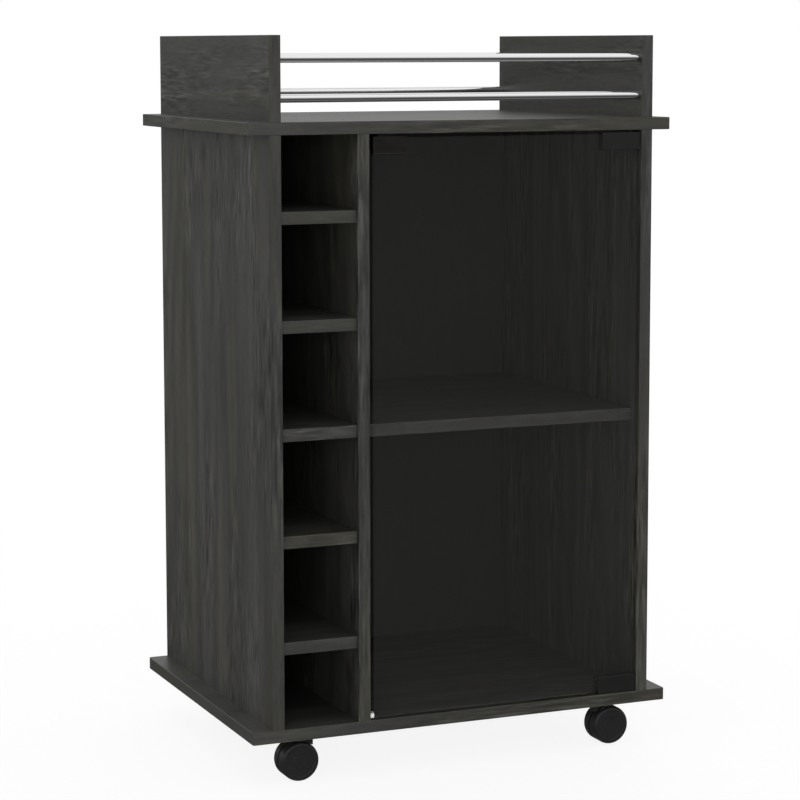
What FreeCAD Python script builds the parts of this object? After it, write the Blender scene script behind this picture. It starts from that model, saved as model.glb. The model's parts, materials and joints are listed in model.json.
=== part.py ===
import FreeCAD, Part
import math
import os

# A bar cart: a panel case on four twin-wheel casters, with a column of bottle
# cubbies on the left, a glass-door compartment on the right, and a tray on top
# fenced by two low side boards and four round rails.
# X runs across the front, -Y faces the user, +Z is up. The origin is on the
# floor under the middle of the case. Everything is in millimetres.

os.makedirs("parts", exist_ok=True)

V = FreeCAD.Vector
X_DIR = V(1, 0, 0)
Y_DIR = V(0, 1, 0)
Z_DIR = V(0, 0, 1)

# ---------------------------------------------------------------- case
BOARD = 15.0            # thickness of every board
CASE_W = 500.0          # over the outer faces of the side panels
TOP_W = 550.0           # top and base boards stand out past the side panels
DEPTH = 410.0
CASTER_H = 55.0         # floor to underside of the base board
PANEL_H = 703.0         # clear height between base board and top board
CUBBY_W = 95.0          # clear width of the bottle column
GALLERY_H = 100.0
CORNER_R = 3.0          # upright corners of the top and base boards
EDGE_R = 0.8            # softened edges of the boards

BASE_Z = CASTER_H
FLOOR_Z = BASE_Z + BOARD            # top face of the base board
TOP_Z = FLOOR_Z + PANEL_H           # underside of the top board
TRAY_Z = TOP_Z + BOARD              # top face of the top board
FRONT = -DEPTH / 2
BACK = DEPTH / 2
SIDE_IN = CASE_W / 2 - BOARD        # inner face of either side panel
DIV_L = -SIDE_IN + CUBBY_W          # left face of the divider
DIV_R = DIV_L + BOARD
SIDE_MID = CASE_W / 2 - BOARD / 2
DIV_MID = DIV_L + BOARD / 2

# back panel, slid into a groove all round
BACK_T = 3.0
BACK_FACE = BACK - 10.0             # its front face
GROOVE = 5.0
GROOVE_GAP = 0.15
INNER_BACK = BACK_FACE - 0.5        # where divider and shelves stop

# bottle shelves
SHELF_PITCH = 127.5
SHELF_COUNT = 5
SHELF_SETBACK = 5.0

# shelf behind the door
CAB_SHELF_MID = 364.0               # above the underside of the base board
CAB_SHELF_SETBACK = 20.0
CAB_SHELF_GAP = 0.5
PIN_R = 2.5
PIN_DEEP = 8.0
PIN_OUT = 7.0
PIN_Y = (-140.0, 150.0)

# joints between boards
DOWEL_R = 4.0
DOWEL_L = 30.0
SHELF_DOWEL_L = 25.0
DOWEL_IN_FACE = 10.0
HOLE_GAP = 0.1          # round a dowel, cam or shelf pin
END_GAP = 0.2           # past the end of a dowel, bolt or bushing
SCREW_GAP = 0.05        # round a screw, or a bushing in wood
PRESS_GAP = 0.02        # round a pressed or riveted pin
PANEL_DOWEL_Y = (-175.0, 175.0)
GALLERY_DOWEL_Y = (-110.0, 110.0)
SHELF_DOWEL_Y = (-120.0, 120.0)
CAM_Y = (-145.0, 145.0)
CAM_R = 7.5
CAM_DEEP = 12.0
CAM_FROM_END = 24.0
CAM_SLOT_L = 9.0        # the cross in the cam's face
CAM_SLOT_W = 1.4
CAM_SLOT_DEEP = 2.0
CAM_COVER_R = 9.0
CAM_COVER_T = 0.4
BOLT_R = 3.4
BOLT_NECK_R = 2.1
BOLT_HEAD_L = 3.0
BOLT_NECK_L = 4.0

# screws: shank radius, head radius, head height, length under the top of the
# head (countersunk) or under the head (pan)
GALLERY_SCREW = (2.5, 4.5, 3.0, 48.0)
GALLERY_SCREW_Y = (-60.0, 60.0)
LATCH_SCREW = (1.7, 3.0, 1.8, 13.0)
CASTER_SCREW = (1.9, 3.5, 1.9, 13.0)
DRIVE_W = 0.9           # the cross in a screw's head
DRIVE_DEEP = 1.1

# rails
RAIL_R = 5.0
RAIL_WALL = 1.0
RAIL_IN_BOARD = 9.0
RAIL_INSET = 10.0                   # from the front or back edge to the axis
RAIL_LOW = 27.0                     # above the tray
RAIL_HIGH = 73.0
RAIL_END_GAP = 1.0
RAIL_GAP = 0.1          # between a rail and its bushings
RAIL_BUSH_WALL = 0.7

# ---------------------------------------------------------------- door
GLASS_T = 5.0
GLASS_L = DIV_R + 5.5
GLASS_R = SIDE_IN - 2.5
GLASS_BOTTOM = FLOOR_Z + 2.0
GLASS_TOP = TOP_Z - 4.5
GLASS_FRONT = FRONT + 2.0
GLASS_BACK = GLASS_FRONT + GLASS_T
CLIP_T = 1.5
CLIP_L = 51.0
CLIP_H = 20.0
CLIP_EDGE_R = 0.7
PAD_T = 0.6
GRUB_R = 2.0
GRUB_X = (12.0, 30.0)   # from the clip's inner end
GRUB_SOCKET_R = 1.1
PIVOT_X = GLASS_R - 10.5
PIVOT_Y = FRONT + 6.0
PIVOT_R = 2.5
BUSH_R = 4.0
BUSH_LIP_R = 5.4
BUSH_LIP_T = 0.8
BUSH_PROUD = 0.2        # how far the lip stands out of the board
PIVOT_GAP = 0.06
PIVOT_DEEP = 10.0
STRIKE_L = 42.0
STRIKE_T = 1.2
STRIKE_LIP_R = 0.8

# soft stop on the divider, in the gap beside the glass
BUMPER_GAP = 0.4        # to the glass
BUMPER_LOW = 2.4        # above the base board
BUMPER_H = 5.6
BUMPER_LIP = 1.2        # how far it reaches behind the glass
BUMPER_LONG = 11.0

# push latch under the top board, behind the free corner of the door
LATCH_X = GLASS_L + STRIKE_L / 2
LATCH_W = 20.0
LATCH_FRONT = FRONT + 15.0
LATCH_LONG = 70.0
LATCH_Z = TOP_Z - LATCH_W / 2
LATCH_EAR = 9.0         # how far each ear stands out sideways
LATCH_EAR_W = 12.0
LATCH_EAR_T = 3.0
LATCH_EAR_Y = LATCH_FRONT + 35.0
LATCH_WALL = 8.0        # behind the bore
PLUNGER_R = 5.0
PLUNGER_GAP = 0.08
PLUNGER_TRAVEL = 3.0
PLUNGER_L = 34.0
MAGNET_R = 6.2
MAGNET_GAP = 0.3        # to the strike, and to the housing at full travel
SPRING_WIRE_R = 0.45
SPRING_R = 3.6
SPRING_PITCH = 2.6

# ---------------------------------------------------------------- casters
SWIVEL_X = 196.0
FRONT_SWIVEL_Y = FRONT + 32.0
BACK_SWIVEL_Y = FRONT + 314.0
TRAIL = 13.0            # swivel axis to wheel axle, seen from above
WHEEL_R = 24.0
WHEEL_W = 13.6
WHEEL_GAP = 3.6         # between the twin wheels
AXLE_R = 2.5
AXLE_DEEP = 11.5        # how far the axle goes into each wheel
WHEEL_SHOULDER = 4.0
WHEEL_CHAMFER = 0.8
HUB_R = 9.0
DISH_R = 17.5
DISH = 0.5
WEB_T = 3.0
WEB_R = 9.0
GUARD_T = 2.2           # from the wheels' radius to the mudguard's outside
GUARD_ROOM = 0.6
GUARD_W = 26.0
GUARD_FROM = 84.0       # degrees round the axle, from the heading
GUARD_TO = 125.0
SOCKET_R = 8.0
SOCKET_LOW = 14.0       # the socket's ends, below the base board
SOCKET_HIGH = 3.5
KINGPIN_R = 3.0
KINGPIN_L = 8.0
RUN_GAP = 0.06
PLATE = 38.0
PLATE_T = 2.0
PLATE_CORNER_R = 5.0
PLATE_HOLE = 14.5       # plate centre to screw, both ways
PLATE_HOLE_R = 2.3
RACE_R = 9.0
RACE_T = 1.1            # the ball race under the plate

# name: swivel place, and the heading of the wheels from the swivel (degrees)
CASTERS = {
    "front_left": (-SWIVEL_X, FRONT_SWIVEL_Y, 180.0),
    "front_right": (SWIVEL_X, FRONT_SWIVEL_Y, 0.0),
    "back_left": (-SWIVEL_X, BACK_SWIVEL_Y, -90.0),
    "back_right": (SWIVEL_X, BACK_SWIVEL_Y, -90.0),
}


# ---------------------------------------------------------------- helpers
def save(name, shape):
    shape.exportStep("parts/" + name + ".step")


def box(x0, x1, y0, y1, z0, z1):
    return Part.makeBox(x1 - x0, y1 - y0, z1 - z0, V(x0, y0, z0))


def rod(radius, length, start, direction):
    return Part.makeCylinder(radius, length, start, direction)


def group(shapes):
    return Part.makeCompound(shapes)


def cut_all(shape, tools):
    return shape.cut(group(tools)) if tools else shape


def edges_along(shape, axis):
    """Straight edges that run along one axis (0, 1 or 2)."""
    found = []
    for edge in shape.Edges:
        if len(edge.Vertexes) != 2:
            continue
        step = edge.Vertexes[1].Point - edge.Vertexes[0].Point
        if abs(abs(step[axis]) - step.Length) < 1e-6:
            found.append(edge)
    return found


def slab(x0, x1, y0, y1, z0, z1):
    """A flat board with rounded upright corners and softened rims."""
    shape = box(x0, x1, y0, y1, z0, z1)
    shape = shape.makeFillet(CORNER_R, edges_along(shape, 2))
    rims = [e for e in shape.Edges if e.BoundBox.ZLength < 1e-6]
    return shape.makeFillet(EDGE_R, rims)


def upright(x0, x1, y0, y1, z0, z1):
    """A standing board with softened front and back edges."""
    shape = box(x0, x1, y0, y1, z0, z1)
    return shape.makeFillet(EDGE_R, edges_along(shape, 2))


def shelf_board(x0, x1, y0, y1, z0, z1):
    """A board with softened long edges at its front and back."""
    shape = box(x0, x1, y0, y1, z0, z1)
    return shape.makeFillet(EDGE_R, edges_along(shape, 0))


def bottle_shelf_mids():
    """Heights of the middles of the bottle shelves, from the top one down."""
    middle = (FLOOR_Z + TOP_Z) / 2
    half = (SHELF_COUNT - 1) / 2
    return [middle + (half - i) * SHELF_PITCH for i in range(SHELF_COUNT)]


def back_groove():
    """The room that the back panel takes in the boards around it."""
    return box(-SIDE_IN - GROOVE, SIDE_IN + GROOVE,
               BACK_FACE - GROOVE_GAP, BACK_FACE + BACK_T + GROOVE_GAP,
               FLOOR_Z - GROOVE, TOP_Z + GROOVE)


# ---------------------------------------------------------------- hardware
def panel_ends():
    """Each upright panel's middle, the side its cams face, and both ends."""
    uprights = ((-SIDE_MID, 1), (DIV_MID, 1), (SIDE_MID, -1))
    ends = ((FLOOR_Z, 1), (TOP_Z, -1))
    return [(x, face, z, up) for x, face in uprights for z, up in ends]


def panel_dowels(radius, extra):
    """Dowels from each upright panel's ends into the base and top boards."""
    made = []
    for x, _, z, up in panel_ends():
        for y in PANEL_DOWEL_Y:
            start = V(x, y, z - up * (DOWEL_IN_FACE + extra))
            made.append(rod(radius, DOWEL_L + 2 * extra, start, V(0, 0, up)))
    return made


def gallery_dowels(radius, extra):
    made = []
    for x in (-SIDE_MID, SIDE_MID):
        for y in GALLERY_DOWEL_Y:
            start = V(x, y, TRAY_Z - DOWEL_IN_FACE - extra)
            made.append(rod(radius, DOWEL_L + 2 * extra, start, Z_DIR))
    return made


def shelf_dowels(radius, extra):
    made = []
    for z in bottle_shelf_mids():
        for y in SHELF_DOWEL_Y:
            for x, inward in ((-SIDE_IN, 1), (DIV_L, -1)):
                start = V(x - inward * (DOWEL_IN_FACE + extra), y, z)
                made.append(rod(radius, SHELF_DOWEL_L + 2 * extra, start, V(inward, 0, 0)))
    return made


def cam_holes():
    """Cam pockets in the uprights' faces, with the bolt's bore to the end."""
    made = []
    for x, face, z, up in panel_ends():
        for y in CAM_Y:
            mouth = V(x + face * BOARD / 2, y, z + up * CAM_FROM_END)
            made.append(rod(CAM_R + HOLE_GAP, CAM_DEEP + END_GAP, mouth, V(-face, 0, 0)))
            made.append(rod(BOLT_R + HOLE_GAP, CAM_FROM_END, V(x, y, z), V(0, 0, up)))
    return made


def cam_bolt(x, y, z, up):
    """A bolt screwed into the board, with a neck and a head for the cam."""
    reach = DOWEL_IN_FACE + CAM_FROM_END + 2.0
    shank = reach - BOLT_HEAD_L - BOLT_NECK_L
    start = V(x, y, z - up * DOWEL_IN_FACE)
    along = V(0, 0, up)
    neck = rod(BOLT_NECK_R, BOLT_NECK_L, start + along * shank, along)
    head = rod(BOLT_R, BOLT_HEAD_L, start + along * (shank + BOLT_NECK_L), along)
    return rod(BOLT_R, shank, start, along).fuse([neck, head])


def cam_lock(x, face, y, z, up):
    """A round cam with a slot that takes the bolt's head, and a cross in its face."""
    centre_z = z + up * CAM_FROM_END
    outer = x + face * BOARD / 2
    shape = rod(CAM_R, CAM_DEEP, V(outer, y, centre_z), V(-face, 0, 0))
    slot_half = BOLT_R + 0.3
    z0, z1 = sorted((centre_z - up * (CAM_R + 1), centre_z + up * (BOLT_R + 0.8)))
    shape = shape.cut(box(x - slot_half, x + slot_half, y - slot_half, y + slot_half, z0, z1))
    x0, x1 = sorted((outer, outer - face * CAM_SLOT_DEEP))
    long_half, thin_half = CAM_SLOT_L / 2, CAM_SLOT_W / 2
    for half_y, half_z in ((long_half, thin_half), (thin_half, long_half)):
        shape = shape.cut(box(x0, x1, y - half_y, y + half_y,
                              centre_z - half_z, centre_z + half_z))
    return shape


def cam_covers():
    """Thin stick-on discs, in the boards' colour, that hide the cams."""
    return [rod(CAM_COVER_R, CAM_COVER_T, V(x + face * BOARD / 2, y, z + up * CAM_FROM_END),
                V(face, 0, 0))
            for x, face, z, up in panel_ends() for y in CAM_Y]


def bolt_sockets():
    """Where the cam bolts screw into the base and top boards."""
    return [rod(BOLT_R + PRESS_GAP, DOWEL_IN_FACE + END_GAP, V(x, y, z), V(0, 0, -up))
            for x, _, z, up in panel_ends() for y in CAM_Y]


def drive_cross(head_r, start, along):
    """The cross that a screwdriver fits, cut into a head from its top."""
    reach, half = head_r * 0.6, DRIVE_W / 2
    cross = box(-reach, reach, -half, half, -0.1, DRIVE_DEEP)
    cross = cross.fuse(box(-half, half, -reach, reach, -0.1, DRIVE_DEEP))
    cross.Placement = FreeCAD.Placement(start, FreeCAD.Rotation(Z_DIR, along))
    return cross


def screw_tip(radius, length, start, along):
    """The cone at a screw's end."""
    return Part.makeCone(radius, radius * 0.25, 2 * radius, start + along * (length - 2 * radius),
                         along)


def countersunk_screw(sizes, start, along):
    """A countersunk screw; start is the middle of the head's flat face."""
    radius, head_r, head_h, length = sizes
    head = Part.makeCone(head_r, radius, head_h, start, along)
    shank = rod(radius, length - head_h - 2 * radius, start + along * head_h, along)
    tip = screw_tip(radius, length, start, along)
    return head.fuse(shank).fuse(tip).cut(drive_cross(head_r, start, along))


def pan_screw(sizes, start, along):
    """A pan-head screw; start is the middle of the head's bearing face."""
    radius, head_r, head_h, length = sizes
    head = rod(head_r, head_h, start, along * -1)
    rim = [e for e in head.Edges if (e.CenterOfMass - start).dot(along) < -head_h / 2
           and e.Length > head_r]
    head = head.makeFillet(head_h * 0.45, rim[:1])
    shank = rod(radius, length - 2 * radius, start, along)
    tip = screw_tip(radius, length, start, along)
    return head.fuse(shank).fuse(tip).cut(drive_cross(head_r, start - along * head_h, along))


def gallery_screws():
    """Screws up through the top board, hidden by the side panels below."""
    return [countersunk_screw(GALLERY_SCREW, V(x, y, TOP_Z), Z_DIR)
            for x in (-SIDE_MID, SIDE_MID) for y in GALLERY_SCREW_Y]


def gallery_screw_holes():
    radius, head_r, head_h, length = GALLERY_SCREW
    hole_r = radius + SCREW_GAP
    made = []
    for x in (-SIDE_MID, SIDE_MID):
        for y in GALLERY_SCREW_Y:
            made.append(rod(hole_r, length + 1.0, V(x, y, TOP_Z), Z_DIR))
            made.append(Part.makeCone(head_r + HOLE_GAP, hole_r, head_h + HOLE_GAP,
                                      V(x, y, TOP_Z), Z_DIR))
    return made


def rail_axes():
    """Each rail's name with its place in Y and Z."""
    return {
        "rail_front_upper": (FRONT + RAIL_INSET, TRAY_Z + RAIL_HIGH),
        "rail_front_lower": (FRONT + RAIL_INSET, TRAY_Z + RAIL_LOW),
        "rail_back_upper": (BACK - RAIL_INSET, TRAY_Z + RAIL_HIGH),
        "rail_back_lower": (BACK - RAIL_INSET, TRAY_Z + RAIL_LOW),
    }


def rail(y, z):
    """A chromed tube with its ends inside the gallery boards."""
    half = SIDE_IN + RAIL_IN_BOARD - RAIL_END_GAP
    start = V(-half, y, z)
    tube = rod(RAIL_R, 2 * half, start, X_DIR)
    return tube.cut(rod(RAIL_R - RAIL_WALL, 2 * half, start, X_DIR))


def rail_bushings():
    """Thin sleeves that line the rail holes, flush with the boards' faces."""
    made = []
    inner = RAIL_R + RAIL_GAP
    for y, z in rail_axes().values():
        for side in (-1, 1):
            start = V(side * SIDE_IN, y, z)
            along = V(side, 0, 0)
            sleeve = rod(inner + RAIL_BUSH_WALL, RAIL_IN_BOARD, start, along)
            made.append(sleeve.cut(rod(inner, RAIL_IN_BOARD, start, along)))
    return made


def rail_holes():
    radius = RAIL_R + RAIL_GAP + RAIL_BUSH_WALL + SCREW_GAP
    return [rod(radius, RAIL_IN_BOARD + END_GAP, V(side * SIDE_IN, y, z), V(side, 0, 0))
            for y, z in rail_axes().values() for side in (-1, 1)]


def shelf_pin_axes():
    """Pin places: the wall face, Y, Z and which way the pin stands out."""
    z = BASE_Z + CAB_SHELF_MID - BOARD / 2 - PIN_R - SCREW_GAP
    return [(x, y, z, out) for x, out in ((DIV_R, 1), (SIDE_IN, -1)) for y in PIN_Y]


def shelf_pins():
    made = []
    for x, y, z, out in shelf_pin_axes():
        along = V(out, 0, 0)
        start = V(x - out * PIN_DEEP, y, z)
        made.append(rod(PIN_R, PIN_DEEP + PIN_OUT, start, along))
    return made


def shelf_pin_holes():
    return [rod(PIN_R + HOLE_GAP, PIN_DEEP + END_GAP, V(x, y, z), V(-out, 0, 0))
            for x, y, z, out in shelf_pin_axes()]


# ---------------------------------------------------------------- boards
def top_board():
    shape = slab(-TOP_W / 2, TOP_W / 2, FRONT, BACK, TOP_Z, TRAY_Z)
    cuts = panel_dowels(DOWEL_R + HOLE_GAP, END_GAP)
    cuts += gallery_dowels(DOWEL_R + HOLE_GAP, END_GAP)
    cuts += bolt_sockets() + gallery_screw_holes() + pivot_bush_holes() + latch_screw_holes()
    cuts.append(back_groove())
    return cut_all(shape, cuts)


def base_board():
    shape = slab(-TOP_W / 2, TOP_W / 2, FRONT, BACK, BASE_Z, FLOOR_Z)
    cuts = panel_dowels(DOWEL_R + HOLE_GAP, END_GAP)
    cuts += bolt_sockets() + pivot_bush_holes() + caster_screw_holes()
    cuts.append(back_groove())
    return cut_all(shape, cuts)


def side_panel(side):
    inner, outer = sorted((side * SIDE_IN, side * CASE_W / 2))
    shape = upright(inner, outer, FRONT, BACK, FLOOR_Z, TOP_Z)
    cuts = panel_dowels(DOWEL_R + HOLE_GAP, END_GAP) + cam_holes()
    cuts.append(back_groove())
    cuts += shelf_dowels(DOWEL_R + HOLE_GAP, END_GAP) if side < 0 else shelf_pin_holes()
    return cut_all(shape, cuts)


def divider_panel():
    shape = upright(DIV_L, DIV_R, FRONT, INNER_BACK, FLOOR_Z, TOP_Z)
    cuts = panel_dowels(DOWEL_R + HOLE_GAP, END_GAP) + cam_holes()
    cuts += shelf_dowels(DOWEL_R + HOLE_GAP, END_GAP) + shelf_pin_holes()
    return cut_all(shape, cuts)


def bottle_shelf(z):
    shape = shelf_board(-SIDE_IN, DIV_L, FRONT + SHELF_SETBACK, INNER_BACK,
                        z - BOARD / 2, z + BOARD / 2)
    return cut_all(shape, shelf_dowels(DOWEL_R + HOLE_GAP, END_GAP))


def cabinet_shelf():
    z = BASE_Z + CAB_SHELF_MID
    return shelf_board(DIV_R + CAB_SHELF_GAP, SIDE_IN - CAB_SHELF_GAP,
                       FRONT + CAB_SHELF_SETBACK, INNER_BACK, z - BOARD / 2, z + BOARD / 2)


def back_panel():
    reach = GROOVE - 0.5
    return box(-SIDE_IN - reach, SIDE_IN + reach, BACK_FACE, BACK_FACE + BACK_T,
               FLOOR_Z - reach, TOP_Z + reach)


def gallery_board(side):
    inner, outer = sorted((side * SIDE_IN, side * CASE_W / 2))
    shape = box(inner, outer, FRONT, BACK, TRAY_Z, TRAY_Z + GALLERY_H)
    shape = shape.makeFillet(EDGE_R, edges_along(shape, 2))
    top = [e for e in shape.Edges if e.BoundBox.ZMin > TRAY_Z + GALLERY_H - 1e-6]
    shape = shape.makeFillet(EDGE_R * 0.9, top)
    cuts = gallery_dowels(DOWEL_R + HOLE_GAP, END_GAP) + gallery_screw_holes() + rail_holes()
    return cut_all(shape, cuts)


# ---------------------------------------------------------------- door
def glass_door():
    shape = box(GLASS_L, GLASS_R, GLASS_FRONT, GLASS_BACK, GLASS_BOTTOM, GLASS_TOP)
    shape = shape.makeFillet(2.0, edges_along(shape, 1))
    rims = [e for e in shape.Edges if e.BoundBox.YLength < 1e-6]
    return shape.makeChamfer(0.6, rims)


def clip_spans():
    """Both hinge clips: name, the glass edge they cap, and which way is out."""
    return (("hinge_clip_top", GLASS_TOP, 1), ("hinge_clip_bottom", GLASS_BOTTOM, -1))


def hinge_clip(edge_z, out):
    """A folded cap over the glass edge, with a wall in front and behind."""
    x0 = GLASS_R - CLIP_L
    x1 = GLASS_R + 0.5
    z0, z1 = sorted((edge_z - out * CLIP_H, edge_z + out * CLIP_T))
    front = GLASS_FRONT - CLIP_T
    back = GLASS_BACK + PAD_T + CLIP_T
    shape = box(x0, x1, front, back, z0, z1)
    shape = shape.makeFillet(CLIP_EDGE_R, edges_along(shape, 0))
    inner = sorted((edge_z - out * (CLIP_H + 1), edge_z))
    shape = shape.cut(box(x0 - 1, x1 + 1, GLASS_FRONT, GLASS_BACK + PAD_T, inner[0], inner[1]))
    bore = rod(PIVOT_R + PRESS_GAP, 3 * CLIP_T, V(PIVOT_X, PIVOT_Y, edge_z - out * 0.5), V(0, 0, out))
    return shape.cut(bore).cut(group(grub_screw_holes()))


def hinge_clip_pads():
    """Soft strips between the glass and each clip's back wall."""
    made = []
    for _, edge_z, out in clip_spans():
        z0, z1 = sorted((edge_z - out * (CLIP_H - 1), edge_z - out))
        made.append(box(GLASS_R - CLIP_L + 1, GLASS_R - 1, GLASS_BACK, GLASS_BACK + PAD_T, z0, z1))
    return made


def grub_places():
    return [(GLASS_R - CLIP_L + dx, edge_z - out * CLIP_H / 2)
            for _, edge_z, out in clip_spans() for dx in GRUB_X]


def grub_screw_holes():
    y = GLASS_BACK + PAD_T
    return [rod(GRUB_R + SCREW_GAP, CLIP_T + 1, V(x, y, z), Y_DIR) for x, z in grub_places()]


def grub_screws():
    """Set screws that press the pad on the glass, with hexagon sockets."""
    made = []
    y = GLASS_BACK + PAD_T
    turns = [math.radians(60 * k) for k in range(7)]
    for x, z in grub_places():
        body = rod(GRUB_R, CLIP_T + 1.2, V(x, y, z), Y_DIR)
        corners = [V(x + GRUB_SOCKET_R * math.cos(a), y + CLIP_T, z + GRUB_SOCKET_R * math.sin(a))
                   for a in turns]
        socket = Part.Face(Part.makePolygon(corners)).extrude(V(0, 2.0, 0))
        made.append(body.cut(socket))
    return made


def door_pivot_pins():
    """Pins that stand out of the clips into the bushings, on one axis."""
    made = []
    for _, edge_z, out in clip_spans():
        start = V(PIVOT_X, PIVOT_Y, edge_z + out * 0.1)
        board = TOP_Z if out > 0 else FLOOR_Z
        length = abs(board - edge_z) + PIVOT_DEEP - 1.5
        pin = rod(PIVOT_R, length, start, V(0, 0, out))
        tip = [e for e in pin.Edges if abs(e.CenterOfMass.z - (start.z + out * length)) < 0.1]
        made.append(pin.makeChamfer(0.5, tip[:1]))
    return made


def pivot_bush_holes():
    made = []
    for board, out in ((TOP_Z, 1), (FLOOR_Z, -1)):
        start = V(PIVOT_X, PIVOT_Y, board)
        made.append(rod(BUSH_R + SCREW_GAP, PIVOT_DEEP + END_GAP, start, V(0, 0, out)))
        made.append(rod(BUSH_LIP_R + SCREW_GAP, BUSH_LIP_T, start, V(0, 0, out)))
    return made


def door_pivot_bushings():
    """Flanged sleeves let into the base and top boards."""
    made = []
    for board, out in ((TOP_Z, 1), (FLOOR_Z, -1)):
        along = V(0, 0, out)
        lip = V(PIVOT_X, PIVOT_Y, board - out * BUSH_PROUD)
        shape = rod(BUSH_R, PIVOT_DEEP + BUSH_PROUD, lip, along)
        shape = shape.fuse(rod(BUSH_LIP_R, BUSH_LIP_T + BUSH_PROUD, lip, along))
        made.append(shape.cut(rod(PIVOT_R + PIVOT_GAP, PIVOT_DEEP - 0.4, lip, along)))
    return made


def strike_clip():
    """The plate clipped on the glass that the latch's magnet holds."""
    x0 = GLASS_L - 0.5
    x1 = GLASS_L + STRIKE_L
    z0 = GLASS_TOP - CLIP_H
    z1 = GLASS_TOP + STRIKE_T
    front = GLASS_FRONT - STRIKE_T
    back = GLASS_BACK + STRIKE_T
    shape = box(x0, x1, front, back, z0, z1)
    shape = shape.cut(box(x0 - 1, x1 + 1, GLASS_FRONT, GLASS_BACK, z0 - 1, GLASS_TOP))
    lip = rod(STRIKE_LIP_R, x1 - x0, V(x0, front + 0.1, z0 + STRIKE_LIP_R), X_DIR)
    return shape.fuse(lip)


def door_bumper():
    """A soft stop on the divider: a block beside the glass, with a lip behind it."""
    z0 = FLOOR_Z + BUMPER_LOW
    y0 = GLASS_FRONT
    side = box(DIV_R, GLASS_L - BUMPER_GAP, y0, y0 + BUMPER_LONG, z0, z0 + BUMPER_H)
    lip = box(DIV_R, GLASS_L + BUMPER_LIP, GLASS_BACK + BUMPER_GAP, y0 + BUMPER_LONG,
              z0, z0 + BUMPER_H)
    shape = side.fuse(lip).removeSplitter()
    front = [e for e in edges_along(shape, 0) if e.BoundBox.YMax < y0 + 1e-6]
    return shape.makeFillet(0.8, front)


# ---------------------------------------------------------------- latch
def latch_screw_places():
    reach = LATCH_W / 2 + LATCH_EAR - 4.0
    return [(LATCH_X - reach, LATCH_EAR_Y), (LATCH_X + reach, LATCH_EAR_Y)]


def latch_body():
    """The latch's housing: a block with two ears, bored for the plunger."""
    half = LATCH_W / 2
    reach = half + LATCH_EAR
    shape = box(LATCH_X - half, LATCH_X + half, LATCH_FRONT, LATCH_FRONT + LATCH_LONG,
                TOP_Z - LATCH_W, TOP_Z)
    shape = shape.makeFillet(1.5, edges_along(shape, 1))
    shape = shape.fuse(box(LATCH_X - reach, LATCH_X + reach, LATCH_EAR_Y - LATCH_EAR_W / 2,
                           LATCH_EAR_Y + LATCH_EAR_W / 2, TOP_Z - LATCH_EAR_T, TOP_Z))
    bore = rod(PLUNGER_R + PLUNGER_GAP, LATCH_LONG - LATCH_WALL,
               V(LATCH_X, LATCH_FRONT, LATCH_Z), Y_DIR)
    holes = [rod(LATCH_SCREW[0] + HOLE_GAP, LATCH_EAR_T + 1.0, V(x, y, TOP_Z - LATCH_EAR_T - 0.5),
                 Z_DIR) for x, y in latch_screw_places()]
    return shape.cut(bore).cut(group(holes))


def latch_screws():
    return [pan_screw(LATCH_SCREW, V(x, y, TOP_Z - LATCH_EAR_T), Z_DIR)
            for x, y in latch_screw_places()]


def latch_screw_holes():
    radius, _, _, length = LATCH_SCREW
    return [rod(radius + SCREW_GAP, length - LATCH_EAR_T + 0.5, V(x, y, TOP_Z), Z_DIR)
            for x, y in latch_screw_places()]


def plunger_ends():
    """Y of the magnet's face, of its back, and of the stem's end."""
    face = GLASS_BACK + STRIKE_T + MAGNET_GAP
    back = LATCH_FRONT - PLUNGER_TRAVEL - MAGNET_GAP
    return face, back, back + PLUNGER_L


def latch_plunger():
    """A rod with a magnet in its tip, just clear of the strike."""
    face, back, end = plunger_ends()
    magnet = rod(MAGNET_R, back - face, V(LATCH_X, face, LATCH_Z), Y_DIR)
    front_rim = [e for e in magnet.Edges if abs(e.CenterOfMass.y - face) < 1e-6]
    magnet = magnet.makeFillet(0.5, front_rim[:1])
    return magnet.fuse(rod(PLUNGER_R, end - back, V(LATCH_X, back, LATCH_Z), Y_DIR))


def latch_spring():
    """The coil spring behind the plunger."""
    start_y = plunger_ends()[2] + PLUNGER_TRAVEL + 1.0
    end_y = LATCH_FRONT + LATCH_LONG - LATCH_WALL - 1.0
    path = Part.makeHelix(SPRING_PITCH, end_y - start_y, SPRING_R)
    ring = Part.makeCircle(SPRING_WIRE_R, V(SPRING_R, 0, 0), V(0, 1, 0))
    coil = Part.Wire(path).makePipeShell([Part.Wire(ring)], True, True)
    coil.rotate(V(0, 0, 0), X_DIR, -90)
    coil.translate(V(LATCH_X, start_y, LATCH_Z))
    return coil


# ---------------------------------------------------------------- casters
def placed(shape, caster):
    """Turns a caster piece, built at the origin and heading +X, into place."""
    x, y, heading = CASTERS[caster]
    moved = shape.copy()
    moved.rotate(V(0, 0, 0), Z_DIR, heading)
    moved.translate(V(x, y, 0))
    return moved


def caster_plate():
    half = PLATE / 2
    shape = box(-half, half, -half, half, BASE_Z - PLATE_T, BASE_Z)
    shape = shape.makeFillet(PLATE_CORNER_R, edges_along(shape, 2))
    shape = shape.fuse(rod(RACE_R, RACE_T, V(0, 0, BASE_Z - PLATE_T - RACE_T), Z_DIR))
    shape = shape.cut(rod(KINGPIN_R + PRESS_GAP, KINGPIN_L, V(0, 0, BASE_Z - KINGPIN_L), Z_DIR))
    holes = [rod(PLATE_HOLE_R, PLATE_T, V(x, y, BASE_Z - PLATE_T), Z_DIR)
             for x in (-PLATE_HOLE, PLATE_HOLE) for y in (-PLATE_HOLE, PLATE_HOLE)]
    return shape.cut(group(holes))


def caster_kingpin():
    """The rivet that holds the hood and lets it swivel."""
    return rod(KINGPIN_R, KINGPIN_L - 0.1, V(0, 0, BASE_Z - KINGPIN_L), Z_DIR)


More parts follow.
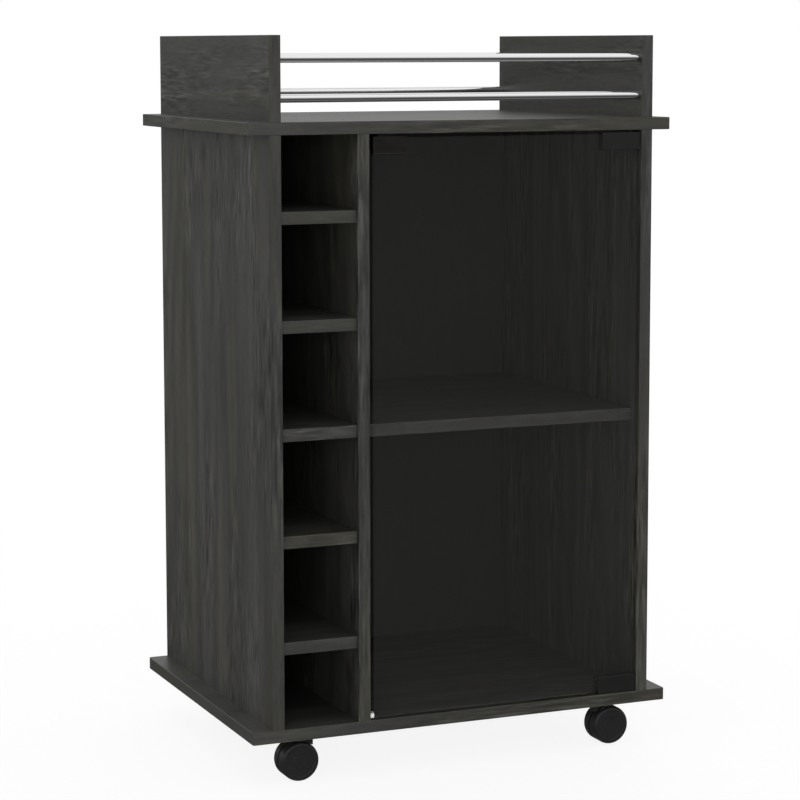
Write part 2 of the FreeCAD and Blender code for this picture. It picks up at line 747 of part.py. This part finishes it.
def mudguard(axle):
    """A curved strip over the wheels, between two angles round the axle."""
    half = GUARD_W / 2
    guard = rod(WHEEL_R + GUARD_T, GUARD_W, axle - Y_DIR * half, Y_DIR)
    far = 2 * WHEEL_R
    corners = [V(axle.x, -half, axle.z)]
    for angle in (math.radians(GUARD_TO), math.radians(GUARD_FROM)):
        corners.append(V(axle.x + far * math.cos(angle), -half, axle.z + far * math.sin(angle)))
    corners.append(corners[0])
    wedge = Part.Face(Part.makePolygon(corners)).extrude(V(0, GUARD_W, 0))
    return guard.common(wedge)


def web_arm(axle):
    """The flat arm that joins the socket to the axle, between the wheels."""
    root = V(-SOCKET_R + 1.5, -WEB_T / 2, BASE_Z - 12.0)
    corners = [root,
               V(axle.x - 7.0, -WEB_T / 2, axle.z - 5.0),
               V(axle.x + 8.5, -WEB_T / 2, axle.z + 2.5),
               V(axle.x + 1.5, -WEB_T / 2, axle.z + WHEEL_R + 1.0),
               root]
    return Part.Face(Part.makePolygon(corners)).extrude(V(0, WEB_T, 0))


def caster_hood():
    """A socket round the kingpin, a mudguard, and a web between the wheels."""
    axle = V(TRAIL, 0, WHEEL_R)
    socket = rod(SOCKET_R, SOCKET_LOW - SOCKET_HIGH, V(0, 0, BASE_Z - SOCKET_LOW), Z_DIR)
    shape = mudguard(axle).fuse(socket)
    shape = shape.cut(rod(WHEEL_R + GUARD_ROOM, 2 * GUARD_W, axle - Y_DIR * GUARD_W, Y_DIR))
    web = rod(WEB_R, WEB_T, axle - Y_DIR * (WEB_T / 2), Y_DIR)
    shape = shape.fuse(web).fuse(web_arm(axle)).removeSplitter()
    shape = shape.cut(rod(AXLE_R + PRESS_GAP, 2 * WEB_T, axle - Y_DIR * WEB_T, Y_DIR))
    return shape.cut(rod(KINGPIN_R + RUN_GAP, KINGPIN_L, V(0, 0, BASE_Z - KINGPIN_L - 0.1), Z_DIR))


def caster_axle():
    half = WHEEL_GAP / 2 + AXLE_DEEP
    return rod(AXLE_R, 2 * half, V(TRAIL, -half, WHEEL_R), Y_DIR)


def wheel_outline():
    """Half of a wheel's section: X is the radius, Y is along the axle."""
    y_in = WHEEL_GAP / 2
    y_out = y_in + WHEEL_W
    k = WHEEL_SHOULDER * (1 - math.sqrt(0.5))
    straight = [V(WHEEL_R - WHEEL_SHOULDER, y_out, 0),
                V(DISH_R + DISH, y_out, 0),
                V(DISH_R, y_out - DISH, 0),
                V(HUB_R + DISH, y_out - DISH, 0),
                V(HUB_R, y_out, 0),
                V(0, y_out, 0),
                V(0, y_in, 0),
                V(WHEEL_R - WHEEL_CHAMFER, y_in, 0),
                V(WHEEL_R, y_in + WHEEL_CHAMFER, 0),
                V(WHEEL_R, y_out - WHEEL_SHOULDER, 0)]
    pieces = [Part.LineSegment(a, b).toShape() for a, b in zip(straight, straight[1:])]
    shoulder = Part.Arc(straight[-1], V(WHEEL_R - k, y_out - k, 0), straight[0])
    return Part.Wire(pieces + [shoulder.toShape()])


def caster_wheel(side):
    """One of the twin wheels, with a domed face and a shallow ring in it."""
    wheel = Part.Face(wheel_outline()).revolve(V(0, 0, 0), Y_DIR, 360)
    bore = rod(AXLE_R + RUN_GAP, AXLE_DEEP + 0.5, V(0, WHEEL_GAP / 2, 0), Y_DIR)
    wheel = wheel.cut(bore)
    if side < 0:
        wheel.rotate(V(0, 0, 0), Z_DIR, 180)
    wheel.translate(V(TRAIL, 0, WHEEL_R))
    return wheel


def caster_screw_places():
    return [(x + dx, y + dy) for x, y, _ in CASTERS.values()
            for dx in (-PLATE_HOLE, PLATE_HOLE) for dy in (-PLATE_HOLE, PLATE_HOLE)]


def caster_screws():
    return [pan_screw(CASTER_SCREW, V(x, y, BASE_Z - PLATE_T), Z_DIR)
            for x, y in caster_screw_places()]


def caster_screw_holes():
    radius, _, _, length = CASTER_SCREW
    return [rod(radius + SCREW_GAP, length - PLATE_T + 0.5, V(x, y, BASE_Z), Z_DIR)
            for x, y in caster_screw_places()]


# ---------------------------------------------------------------- files
def save_case():
    save("top_board", top_board())
    save("base_board", base_board())
    save("left_side_panel", side_panel(-1))
    save("right_side_panel", side_panel(1))
    save("divider_panel", divider_panel())
    for number, z in enumerate(bottle_shelf_mids(), 1):
        save("bottle_shelf_" + str(number), bottle_shelf(z))
    save("cabinet_shelf", cabinet_shelf())
    save("back_panel", back_panel())
    save("gallery_board_left", gallery_board(-1))
    save("gallery_board_right", gallery_board(1))
    for name, (y, z) in rail_axes().items():
        save(name, rail(y, z))


def save_hardware():
    dowels = panel_dowels(DOWEL_R, 0) + gallery_dowels(DOWEL_R, 0) + shelf_dowels(DOWEL_R, 0)
    save("wood_dowels", group(dowels))
    save("cam_bolts", group([cam_bolt(x, y, z, up) for x, _, z, up in panel_ends() for y in CAM_Y]))
    save("cam_locks", group([cam_lock(x, face, y, z, up)
                             for x, face, z, up in panel_ends() for y in CAM_Y]))
    save("cam_covers", group(cam_covers()))
    save("gallery_screws", group(gallery_screws()))
    save("rail_bushings", group(rail_bushings()))
    save("shelf_pins", group(shelf_pins()))


def save_door():
    save("glass_door", glass_door())
    for name, edge_z, out in clip_spans():
        save(name, hinge_clip(edge_z, out))
    save("hinge_clip_pads", group(hinge_clip_pads()))
    save("hinge_grub_screws", group(grub_screws()))
    save("door_pivot_pins", group(door_pivot_pins()))
    save("door_pivot_bushings", group(door_pivot_bushings()))
    save("strike_clip", strike_clip())
    save("door_bumper", door_bumper())
    save("latch_body", latch_body())
    save("latch_plunger", latch_plunger())
    save("latch_spring", latch_spring())
    save("latch_screws", group(latch_screws()))


def save_casters():
    for name in CASTERS:
        save(name + "_caster_plate", placed(caster_plate(), name))
        save(name + "_caster_hood", placed(caster_hood(), name))
        save(name + "_caster_axle", placed(caster_axle(), name))
        save(name + "_caster_wheel_1", placed(caster_wheel(1), name))
        save(name + "_caster_wheel_2", placed(caster_wheel(-1), name))
    save("caster_kingpins", group([placed(caster_kingpin(), name) for name in CASTERS]))
    save("caster_screws", group(caster_screws()))


save_case()
save_hardware()
save_door()
save_casters()
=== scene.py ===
import json
import math
import bpy
from mathutils import Matrix, Vector

# The looks of a bar cart: charcoal wood-grain boards, a smoked glass door with
# dark metal clips, chromed rails and black twin-wheel casters.
# Metres, +Z up, -Y towards the user, in the frame of the CAD model.

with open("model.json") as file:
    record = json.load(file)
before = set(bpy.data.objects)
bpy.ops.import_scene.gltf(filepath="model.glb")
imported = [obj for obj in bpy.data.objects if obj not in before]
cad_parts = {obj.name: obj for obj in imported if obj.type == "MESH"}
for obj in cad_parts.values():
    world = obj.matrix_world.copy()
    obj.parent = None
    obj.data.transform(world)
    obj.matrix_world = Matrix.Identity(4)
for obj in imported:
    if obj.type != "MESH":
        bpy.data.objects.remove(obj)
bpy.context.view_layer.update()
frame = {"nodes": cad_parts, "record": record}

X_AXIS, Y_AXIS, Z_AXIS = 0, 1, 2
MM = 0.001

# ---------------------------------------------------------------- camera
LENS_MM = 113.85
SENSOR_MM = 36.0
LENS_SHIFT = (-0.0006, -0.0774)     # sideways and up, as shares of the sensor
CAMERA_AT = (-1.2481, -2.9510, 0.8764)
CAMERA_YAW = -22.94         # degrees, turned to the right
CAMERA_PITCH = -6.61        # degrees, tipped down
CAMERA_ROLL = -0.06

# ---------------------------------------------------------------- studio
# brightness of the surroundings straight down, and where it is least
BELOW = 0.20
SHADE = 0.035
# brightness at the foot of the walls, at eye level and overhead
FLOORLINE = 0.125
SKYLINE = 0.60
OVERHEAD = 0.95
# the brightness climbs in steps, each between two heights of the view direction
STRAIGHT_DOWN = -1.0
SHADE_AT = -0.45
CLIMBS = (
    (SHADE_AT, -0.20, FLOORLINE - SHADE),
    (-0.02, 0.12, SKYLINE - FLOORLINE),
    (0.10, 0.55, OVERHEAD - SKYLINE),
)
DIFFUSE_SHARE = 0.42        # how much of this brightness lights matt surfaces
WHITE = (1.0, 1.0, 1.0, 1.0)

FLOOR_RADIUS = 40.0
FLOOR_SIDES = 96
FLOOR_GLOW = 0.88           # the floor glows by itself, so that it stays near white
FLOOR_ROUGHNESS = 0.8
FLOOR_DULL = (0.16, 0.16, 0.16)
FLOOR_PALE = (0.17, 0.17, 0.17)

# softboxes: place, width and height, power in watts
SOFTBOXES = {
    "key_softbox": ((-1.9, -3.7, 0.85), (2.2, 1.6), 42.0),
    "fill_softbox": ((1.8, -3.4, 1.6), (2.2, 1.8), 6.0),
}
SOFTBOX_AIM = (0.0, 0.0, 0.45)

# ---------------------------------------------------------------- colours
WOOD_COOL = (0.0450, 0.0442, 0.0415)
WOOD_WARM = (0.0480, 0.0465, 0.0370)
HARDBOARD_DARK = (0.017, 0.016, 0.015)
HARDBOARD_PALE = (0.028, 0.027, 0.025)
BEECH_PALE = (0.64, 0.47, 0.29)
BEECH_RAYS = (0.47, 0.31, 0.17)
CHROME = (0.86, 0.86, 0.87)
CLIP_PAINT = (0.0078, 0.0077, 0.0073)
STRIKE_DARK = (0.030, 0.029, 0.026)
STRIKE_PALE = (0.058, 0.055, 0.050)
ZINC_DARK = (0.42, 0.42, 0.44)
ZINC_PALE = (0.66, 0.66, 0.67)
CASTER_STEEL_DARK = (0.30, 0.30, 0.31)
CASTER_STEEL_PALE = (0.50, 0.50, 0.51)
BLACK_PLASTIC = (0.012, 0.012, 0.0115)
WHEEL_PLASTIC = (0.0115, 0.0112, 0.0112)
LATCH_GREY = (0.25, 0.25, 0.25)
WHITE_PLASTIC = (0.78, 0.78, 0.76)
PAD_RUBBER = (0.03, 0.03, 0.03)
SMOKE = (0.026, 0.0255, 0.023)
# far above real glass: the pane's low alpha thins its reflection as well, and this
# leaves each face mirroring about 3 percent, head on
SMOKE_IOR = 3.2

# most of a noise lies between these values
DARKEST, PALEST = 0.3, 0.7

END_ON = 0.7                # a face that looks this squarely along the grain is an end
EDGE_CONTRAST = 0.6         # of the grain on edge bands, beside 1 on the broad sides


# ---------------------------------------------------------------- node helpers
def start(name, colour, roughness, metallic=0.0):
    """A new material with its plain values, its node tree and its shader."""
    material = bpy.data.materials.new(name)
    material.use_nodes = True
    tree = material.node_tree
    shader = tree.nodes["Principled BSDF"]
    shader.inputs["Base Color"].default_value = (*colour, 1.0)
    shader.inputs["Roughness"].default_value = roughness
    shader.inputs["Metallic"].default_value = metallic
    return material, tree, shader


def node(tree, kind, **settings):
    """A new shader node with its settings."""
    made = tree.nodes.new("ShaderNode" + kind)
    for key, value in settings.items():
        setattr(made, key, value)
    return made


def put(tree, target, value):
    """Links a socket to an input, or sets a plain value on it."""
    if isinstance(value, bpy.types.NodeSocket):
        tree.links.new(value, target)
    else:
        target.default_value = value


def coordinates(tree, stretch=(1.0, 1.0, 1.0), turn=(0.0, 0.0, 0.0)):
    """The piece's own coordinates in metres, squeezed along each axis."""
    place = node(tree, "TexCoord")
    mapping = node(tree, "Mapping")
    mapping.inputs["Scale"].default_value = stretch
    mapping.inputs["Rotation"].default_value = turn
    tree.links.new(place.outputs["Object"], mapping.inputs["Vector"])
    return mapping.outputs["Vector"]


def noise(tree, where, scale, detail=3.0, roughness=0.5):
    """A cloudy noise, mostly between DARKEST and PALEST."""
    made = node(tree, "TexNoise")
    tree.links.new(where, made.inputs["Vector"])
    made.inputs["Scale"].default_value = scale
    made.inputs["Detail"].default_value = detail
    made.inputs["Roughness"].default_value = roughness
    return made.outputs["Fac"]


def spread(tree, value, low, high, to_low, to_high, smooth=False):
    """Maps a value's range onto another, clamped at both ends."""
    made = node(tree, "MapRange")
    if smooth:
        made.interpolation_type = "SMOOTHSTEP"
    put(tree, made.inputs["Value"], value)
    made.inputs["From Min"].default_value = low
    made.inputs["From Max"].default_value = high
    made.inputs["To Min"].default_value = to_low
    made.inputs["To Max"].default_value = to_high
    return made.outputs["Result"]


def maths(tree, operation, a, b=0.0):
    """One Math node on sockets or plain values."""
    made = node(tree, "Math", operation=operation)
    put(tree, made.inputs[0], a)
    put(tree, made.inputs[1], b)
    return made.outputs["Value"]


def mixed(tree, share, a, b):
    """A blend of two colours, or of a socket and a colour."""
    made = node(tree, "Mix", data_type="RGBA")
    put(tree, made.inputs["Factor"], share)
    put(tree, made.inputs["A"], solid(a))
    put(tree, made.inputs["B"], solid(b))
    return made.outputs["Result"]


def solid(colour):
    """A plain colour with its alpha; a socket is left as it is."""
    if isinstance(colour, bpy.types.NodeSocket) or len(colour) == len(WHITE):
        return colour
    return (*colour, 1.0)


def scaled(colour, share):
    """A plain colour, darker or paler."""
    return tuple(share * channel for channel in colour)


def shaded(tree, colour, tone):
    """A colour socket, darkened or lightened by a tone."""
    grey = node(tree, "CombineColor")
    for channel in ("Red", "Green", "Blue"):
        tree.links.new(tone, grey.inputs[channel])
    made = node(tree, "Mix", data_type="RGBA", blend_type="MULTIPLY")
    put(tree, made.inputs["Factor"], 1.0)
    put(tree, made.inputs["A"], colour)
    put(tree, made.inputs["B"], grey.outputs["Color"])
    return made.outputs["Result"]


def product(tree, values):
    """All the values multiplied together."""
    total = values[0]
    for value in values[1:]:
        total = maths(tree, "MULTIPLY", total, value)
    return total


def bump(tree, shader, height, distance, strength):
    """Relief of a height in metres."""
    made = node(tree, "Bump")
    made.inputs["Strength"].default_value = strength
    made.inputs["Distance"].default_value = distance
    tree.links.new(height, made.inputs["Height"])
    tree.links.new(made.outputs["Normal"], shader.inputs["Normal"])


# ---------------------------------------------------------------- materials
def facing(tree, place, axis):
    """How squarely a surface faces along an axis, from 0 to 1."""
    normal = node(tree, "SeparateXYZ")
    tree.links.new(place.outputs["Normal"], normal.inputs["Vector"])
    return maths(tree, "ABSOLUTE", normal.outputs["XYZ"[axis]])


def grain_space(tree, place, is_end, along, band, share):
    """Coordinates squeezed along the grain, which turns on the board's ends."""
    scale = node(tree, "Mix", data_type="VECTOR")
    tree.links.new(is_end, scale.inputs["Factor"])
    for socket, axis in (("A", along), ("B", band)):
        squeeze = [1.0, 1.0, 1.0]
        squeeze[axis] = share
        put(tree, scale.inputs[socket], squeeze)
    mapping = node(tree, "Mapping")
    tree.links.new(place.outputs["Object"], mapping.inputs["Vector"])
    tree.links.new(scale.outputs["Result"], mapping.inputs["Scale"])
    return mapping.outputs["Vector"]


def wood_figure(tree, stretched, broad):
    """Tall arches and soft wavering bands, as in a plain-sawn board."""
    swell = noise(tree, broad, 7.0, detail=1.5, roughness=0.35)
    rings = maths(tree, "SINE", maths(tree, "MULTIPLY", swell, 80.0))
    arches = spread(tree, rings, -1.0, 1.0, 0.84, 1.11)
    bands = noise(tree, stretched(0.05), 42.0, detail=2.0)
    return arches, spread(tree, bands, DARKEST, PALEST, 0.74, 1.26)


def wood_streaks(tree, stretched, short):
    """Short streaks in loose clusters, pale ones beside dark ones."""
    clusters = noise(tree, stretched(0.2), 16.0, detail=1.0)
    clustered = spread(tree, clusters, 0.45, 0.62, 0.15, 1.0, smooth=True)
    streaks = noise(tree, short, 300.0, detail=2.0, roughness=0.6)
    swing = spread(tree, streaks, DARKEST, PALEST, -1.1, 1.1)
    tone = maths(tree, "ADD", maths(tree, "MULTIPLY", swing, clustered), 1.0)
    return maths(tree, "MAXIMUM", tone, 0.35)


def woodgrain(name, along, band, broad_side):
    """Charcoal melamine printed and embossed as open-pored wood.

    The grain runs along one axis, and along another on the edge bands of the
    board's ends. All edge bands are more even than the broad sides.
    """
    material, tree, shader = start(name, WOOD_COOL, 0.4)
    place = node(tree, "TexCoord")
    is_end = maths(tree, "GREATER_THAN", facing(tree, place, along), END_ON)
    contrast = spread(tree, facing(tree, place, broad_side), 0.6, 0.8, EDGE_CONTRAST, 1.0)

    def stretched(share):
        return grain_space(tree, place, is_end, along, band, share)

    broad = stretched(0.12)
    short = stretched(0.075)
    arches, bands = wood_figure(tree, stretched, broad)
    streaks = wood_streaks(tree, stretched, short)

    # fibres, and short pores in the embossed print: the darkened spots are painted shade and
    # the pale flecks painted highlights of that emboss, whose relief the bump also gives
    fibres = noise(tree, short, 480.0, detail=4.0, roughness=0.65)
    fibre_tone = spread(tree, fibres, DARKEST, PALEST, 0.66, 1.34)
    pores = noise(tree, stretched(0.11), 650.0, detail=2.0, roughness=0.6)
    pore_depth_and_shade = spread(tree, pores, 0.60, 0.70, 1.0, 0.6, smooth=True)
    painted_pore_highlights = spread(tree, pores, 0.28, 0.38, 1.5, 1.0, smooth=True)

    # the tone carries the painted pore shade and highlights along with the grain
    full_tone = product(tree, (arches, bands, streaks, fibre_tone, pore_depth_and_shade, painted_pore_highlights))
    swing = maths(tree, "MULTIPLY", maths(tree, "SUBTRACT", full_tone, 1.0), contrast)
    tone = maths(tree, "ADD", swing, 1.0)
    patches = noise(tree, broad, 13.0, detail=1.0)
    warmth = spread(tree, patches, 0.35, 0.65, 0.0, 1.0)
    ground = mixed(tree, warmth, WOOD_COOL, WOOD_WARM)
    tree.links.new(shaded(tree, ground, tone), shader.inputs["Base Color"])

    gloss = spread(tree, fibres, DARKEST, PALEST, 0.34, 0.46)
    tree.links.new(gloss, shader.inputs["Roughness"])
    relief = maths(tree, "ADD", maths(tree, "MULTIPLY", fibres, 0.6), pore_depth_and_shade)
    bump(tree, shader, relief, 0.12 * MM, 0.5)
    return material


def hardboard(name):
    """Thin back board, printed to match, with upright fibres and a fine pressed texture."""
    material, tree, shader = start(name, HARDBOARD_PALE, 0.62)
    fibres = noise(tree, coordinates(tree, (1.0, 1.0, 0.05)), 380.0, detail=4.0, roughness=0.6)
    clumps = noise(tree, coordinates(tree), 260.0, detail=5.0, roughness=0.7)
    tone = maths(tree, "MULTIPLY", spread(tree, fibres, DARKEST, PALEST, 0.86, 1.14),
                 spread(tree, clumps, DARKEST, PALEST, 0.9, 1.1))
    share = spread(tree, tone, 0.75, 1.25, 0.0, 1.0)
    colour = mixed(tree, share, HARDBOARD_DARK, HARDBOARD_PALE)
    tree.links.new(colour, shader.inputs["Base Color"])
    gloss = spread(tree, clumps, DARKEST, PALEST, 0.55, 0.72)
    tree.links.new(gloss, shader.inputs["Roughness"])
    bump(tree, shader, clumps, 0.08 * MM, 0.6)
    return material


def beech(name):
    """Turned dowels: pale wood with fine dark flecks."""
    material, tree, shader = start(name, BEECH_PALE, 0.6)
    rays = noise(tree, coordinates(tree), 900.0, detail=3.0, roughness=0.6)
    colour = mixed(tree, spread(tree, rays, 0.4, 0.65, 0.0, 1.0), BEECH_PALE, BEECH_RAYS)
    tree.links.new(colour, shader.inputs["Base Color"])
    bump(tree, shader, rays, 0.1 * MM, 0.5)
    return material


def chrome(name):
    """Polished plated tube, with fine draw lines and faint finger marks."""
    material, tree, shader = start(name, CHROME, 0.06, metallic=1.0)
    drawn = noise(tree, coordinates(tree, (0.01, 1.0, 1.0)), 2500.0, detail=2.0)
    smudge = noise(tree, coordinates(tree), 55.0, detail=4.0, roughness=0.7)
    gloss = maths(tree, "ADD", spread(tree, drawn, 0.35, 0.65, 0.03, 0.07),
                  spread(tree, smudge, 0.5, 0.75, 0.0, 0.07, smooth=True))
    tree.links.new(gloss, shader.inputs["Roughness"])
    bump(tree, shader, drawn, 0.004 * MM, 0.4)
    return material


def steel(name, dark, pale, stretch=(1.0, 1.0, 1.0)):
    """Plated or brushed metal with a fine spangle and uneven gloss."""
    material, tree, shader = start(name, pale, 0.34, metallic=1.0)
    spangle = noise(tree, coordinates(tree, stretch), 700.0, detail=4.0, roughness=0.6)
    patches = noise(tree, coordinates(tree), 120.0, detail=3.0, roughness=0.6)
    share = maths(tree, "MULTIPLY", spread(tree, spangle, DARKEST, PALEST, 0.55, 1.0),
                  spread(tree, patches, DARKEST, PALEST, 0.7, 1.0))
    tree.links.new(mixed(tree, share, dark, pale), shader.inputs["Base Color"])
    gloss = spread(tree, patches, DARKEST, PALEST, 0.27, 0.43)
    tree.links.new(gloss, shader.inputs["Roughness"])
    bump(tree, shader, spangle, 0.02 * MM, 0.4)
    return material


def painted(name, colour, roughness, shine):
    """Satin powder coat with its fine orange peel."""
    material, tree, shader = start(name, colour, roughness)
    shader.inputs["Specular IOR Level"].default_value = shine
    peel = noise(tree, coordinates(tree), 650.0, detail=3.0, roughness=0.55)
    worn = noise(tree, coordinates(tree), 90.0, detail=4.0, roughness=0.7)
    share = spread(tree, worn, 0.4, 0.75, 0.0, 1.0)
    mix = mixed(tree, share, colour, scaled(colour, 1.35))
    tree.links.new(mix, shader.inputs["Base Color"])
    gloss = spread(tree, worn, DARKEST, PALEST, roughness - 0.06, roughness + 0.08)
    tree.links.new(gloss, shader.inputs["Roughness"])
    bump(tree, shader, peel, 0.05 * MM, 0.35)
    return material


def moulded(name, colour, roughness=0.42, depth=0.05):
    """Injection-moulded plastic: spark-eroded texture and slight colour drift."""
    material, tree, shader = start(name, colour, roughness)
    texture = noise(tree, coordinates(tree), 1400.0, detail=3.0, roughness=0.6)
    drift = noise(tree, coordinates(tree), 75.0, detail=3.0, roughness=0.6)
    share = spread(tree, drift, DARKEST, PALEST, 0.0, 1.0)
    mix = mixed(tree, share, scaled(colour, 0.84), scaled(colour, 1.22))
    tree.links.new(mix, shader.inputs["Base Color"])
    gloss = spread(tree, texture, DARKEST, PALEST, roughness - 0.06, roughness + 0.08)
    tree.links.new(gloss, shader.inputs["Roughness"])
    bump(tree, shader, texture, depth * MM, 0.5)
    return material


def smoked_glass(name):
    """Lightly smoked pane: each face holds back a little light and mirrors a little."""
    material, tree, shader = start(name, SMOKE, 0.02)
    shader.inputs["IOR"].default_value = SMOKE_IOR
    where = coordinates(tree, (0.4, 1.0, 1.0), (0.0, 0.35, 0.0))
    haze = noise(tree, where, 14.0, detail=2.0, roughness=0.5)
    cover = spread(tree, haze, 0.35, 0.8, 0.11, 0.12, smooth=True)
    tree.links.new(cover, shader.inputs["Alpha"])
    gloss = spread(tree, haze, 0.45, 0.8, 0.0, 0.06, smooth=True)
    tree.links.new(gloss, shader.inputs["Roughness"])
    return material


# ---------------------------------------------------------------- assignment
BRUSHED_ACROSS = (0.05, 1.0, 1.0)
GRAIN_UPRIGHT = ("left_side_panel", "right_side_panel", "divider_panel")
GRAIN_DEEP = ("gallery_board_left", "gallery_board_right")


def slot_materials():
    """The material for each slot other than the wood-grain boards."""
    return {
        "back_hardboard": hardboard("back_hardboard"),
        "beech": beech("beech"),
        "chrome": chrome("chrome"),
        "tinted_glass": smoked_glass("tinted_glass"),
        "dark_clip_metal": painted("dark_clip_metal", CLIP_PAINT, 0.45, 0.35),
        "strike_steel": steel("strike_steel", STRIKE_DARK, STRIKE_PALE, BRUSHED_ACROSS),
        "zinc_steel": steel("zinc_steel", ZINC_DARK, ZINC_PALE),
        "caster_steel": steel("caster_steel", CASTER_STEEL_DARK, CASTER_STEEL_PALE),
        "black_plastic": moulded("black_plastic", BLACK_PLASTIC),
        "caster_wheel": moulded("caster_wheel", WHEEL_PLASTIC, roughness=0.38),
        "latch_grey": moulded("latch_grey", LATCH_GREY),
        "white_plastic": moulded("white_plastic", WHITE_PLASTIC, roughness=0.35),
        "soft_pad": moulded("soft_pad", PAD_RUBBER, roughness=0.75, depth=0.12),
    }


def assign_materials():
    """Gives each CAD piece the material of its slot, turned to its grain."""
    grains = {
        X_AXIS: woodgrain("woodgrain_across", X_AXIS, Y_AXIS, Z_AXIS),
        Y_AXIS: woodgrain("woodgrain_deep", Y_AXIS, Z_AXIS, X_AXIS),
        Z_AXIS: woodgrain("woodgrain_upright", Z_AXIS, Y_AXIS, X_AXIS),
    }
    plain = slot_materials()
    for subpart in frame["record"]["subparts"]:
        name = subpart["node"]
        if subpart["material_slot"] in plain:
            material = plain[subpart["material_slot"]]
        elif name in GRAIN_UPRIGHT:
            material = grains[Z_AXIS]
        elif name in GRAIN_DEEP:
            material = grains[Y_AXIS]
        else:
            material = grains[X_AXIS]
        for held in frame["nodes"][name].material_slots:
            held.material = material


# ---------------------------------------------------------------- studio
def make_camera():
    """A camera at the photo's place, level but for a slight tip and roll."""
    data = bpy.data.cameras.new("camera")
    data.lens = LENS_MM
    data.sensor_width = SENSOR_MM
    data.shift_x, data.shift_y = LENS_SHIFT
    camera = bpy.data.objects.new("camera", data)
    bpy.context.scene.collection.objects.link(camera)
    turn = Matrix.Rotation(math.radians(CAMERA_YAW), 4, "Z")
    tip = Matrix.Rotation(math.radians(90.0 + CAMERA_PITCH), 4, "X")
    roll = Matrix.Rotation(math.radians(CAMERA_ROLL), 4, "Z")
    camera.matrix_world = Matrix.Translation(CAMERA_AT) @ turn @ tip @ roll
    bpy.context.scene.camera = camera


def make_floor():
    """A wide pale disc under the cart, which shows in no reflection."""
    mesh = bpy.data.meshes.new("floor")
    turns = [2 * math.pi * k / FLOOR_SIDES for k in range(FLOOR_SIDES)]
    rim = [(FLOOR_RADIUS * math.cos(t), FLOOR_RADIUS * math.sin(t), 0.0) for t in turns]
    mesh.from_pydata(rim, [], [tuple(range(FLOOR_SIDES))])
    floor = bpy.data.objects.new("floor", mesh)
    bpy.context.scene.collection.objects.link(floor)
    material, tree, shader = start("floor", FLOOR_DULL, FLOOR_ROUGHNESS)
    shader.inputs["Emission Color"].default_value = WHITE
    shader.inputs["Emission Strength"].default_value = FLOOR_GLOW
    grain = noise(tree, coordinates(tree), 40.0, detail=3.0)
    tree.links.new(mixed(tree, grain, FLOOR_DULL, FLOOR_PALE), shader.inputs["Base Color"])
    mesh.materials.append(material)
    floor.visible_glossy = False


def make_world():
    """A soft studio: bright overhead, dimmer at eye level and darkest below.

    The camera sees plain white instead, and matt surfaces get only a share of the light.
    """
    world = bpy.data.worlds.new("studio")
    bpy.context.scene.world = world
    world.use_nodes = True
    tree = world.node_tree
    surface = tree.nodes["Background"]
    direction = node(tree, "SeparateXYZ")
    place = node(tree, "TexCoord")
    tree.links.new(place.outputs["Generated"], direction.inputs["Vector"])
    height = direction.outputs["Z"]
    around = spread(tree, height, STRAIGHT_DOWN, SHADE_AT, BELOW, SHADE)
    for low, high, step in CLIMBS:
        rise = spread(tree, height, low, high, 0.0, step, smooth=True)
        around = maths(tree, "ADD", around, rise)
    seen = node(tree, "LightPath")
    light = mixed(tree, seen.outputs["Is Camera Ray"], around, WHITE)
    tree.links.new(light, surface.inputs["Color"])
    matt = spread(tree, seen.outputs["Is Diffuse Ray"], 0.0, 1.0, 1.0, DIFFUSE_SHARE)
    tree.links.new(matt, surface.inputs["Strength"])


def softbox(name, at, size, power):
    """A rectangular lamp that faces the cart and shows in no reflection."""
    data = bpy.data.lights.new(name, "AREA")
    data.shape = "RECTANGLE"
    data.size, data.size_y = size
    data.energy = power
    light = bpy.data.objects.new(name, data)
    bpy.context.scene.collection.objects.link(light)
    light.visible_glossy = False
    away = Vector(at) - Vector(SOFTBOX_AIM)
    turn = away.to_track_quat("Z", "Y").to_matrix().to_4x4()
    light.matrix_world = Matrix.Translation(at) @ turn


make_camera()
assign_materials()
make_floor()
make_world()
for name, (at, size, power) in SOFTBOXES.items():
    softbox(name, at, size, power)
bpy.context.scene.view_settings.view_transform = "Standard"
